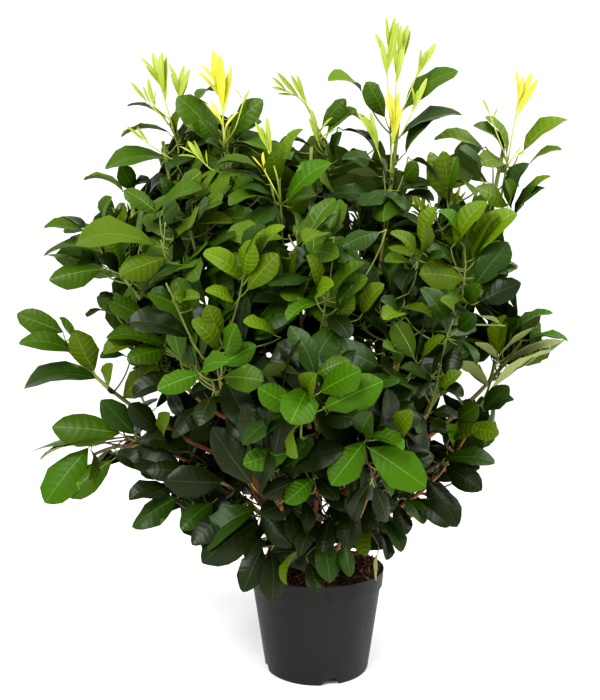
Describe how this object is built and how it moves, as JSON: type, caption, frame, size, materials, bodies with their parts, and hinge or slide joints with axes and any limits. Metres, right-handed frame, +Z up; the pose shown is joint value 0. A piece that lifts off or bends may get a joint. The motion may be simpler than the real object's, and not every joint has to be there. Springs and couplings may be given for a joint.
{
  "type": "potted cherry laurel",
  "caption": "Evergreen garden shrub with upright stems and a broad, loose, leafy crown, in a round tapered nursery container.",
  "frame": {"origin": "centre of the container's flat underside, on the surface it stands on", "axes": "+Z straight up along the container's axis, -Y towards the viewer of the picture, +X to the picture's right"},
  "size_m": [1.0785, 0.7823, 1.261],
  "materials": {
    "pot_plastic": "matte black moulded polypropylene",
    "soil_mulch": "moist potting soil under bark mulch",
    "stem_bark": "smooth orange-brown bark",
    "bough_bark": "smooth green to brown young bark",
    "leaves": "glossy leather-like leaves"
  },
  "bodies": {
    "root": {"bough_back_high_left": "bough_bark", "bough_back_low_left": "bough_bark", "bough_back_low_right": "bough_bark", "bough_back_mid_left": "bough_bark", "bough_back_mid_right": "bough_bark", "bough_front_centre": "bough_bark", "bough_front_high_centre": "bough_bark", "bough_front_high_left": "bough_bark", "bough_front_low_left": "bough_bark", "bough_front_low_right": "bough_bark", "bough_front_mid_left": "bough_bark", "bough_front_mid_right": "bough_bark", "bough_left_high": "bough_bark", "bough_left_low_shoot": "bough_bark", "bough_left_middle": "bough_bark", "bough_left_shoot": "bough_bark", "bough_low_left": "bough_bark", "bough_low_right": "bough_bark", "bough_right_high": "bough_bark", "bough_right_low": "bough_bark", "bough_right_shoot": "bough_bark", "bough_skirt_front": "bough_bark", "bough_skirt_left": "bough_bark", "mass_back_high": "leaves", "mass_back_high_left": "leaves", "mass_back_low_left": "leaves", "mass_back_low_right": "leaves", "mass_back_mid_left": "leaves", "mass_back_mid_right": "leaves", "mass_front_centre": "leaves", "mass_front_high_centre": "leaves", "mass_front_high_left": "leaves", "mass_front_low_left": "leaves", "mass_front_low_right": "leaves", "mass_front_mid_left": "leaves", "mass_front_mid_right": "leaves", "mass_left_high": "leaves", "mass_left_low_shoot": "leaves", "mass_left_middle": "leaves", "mass_left_shoot": "leaves", "mass_low_left": "leaves", "mass_low_right": "leaves", "mass_right_high": "leaves", "mass_right_low": "leaves", "mass_right_shoot": "leaves", "mass_skirt_front": "leaves", "mass_skirt_left": "leaves", "mass_top_centre": "leaves", "mass_top_left": "leaves", "mass_top_left_centre": "leaves", "mass_top_right": "leaves", "mass_top_right_centre": "leaves", "pot": "pot_plastic", "soil": "soil_mulch", "stem_back": "stem_bark", "stem_centre": "stem_bark", "stem_left": "stem_bark", "stem_left_centre": "stem_bark", "stem_right": "stem_bark", "stem_right_centre": "stem_bark"}
  },
  "joints": []
}
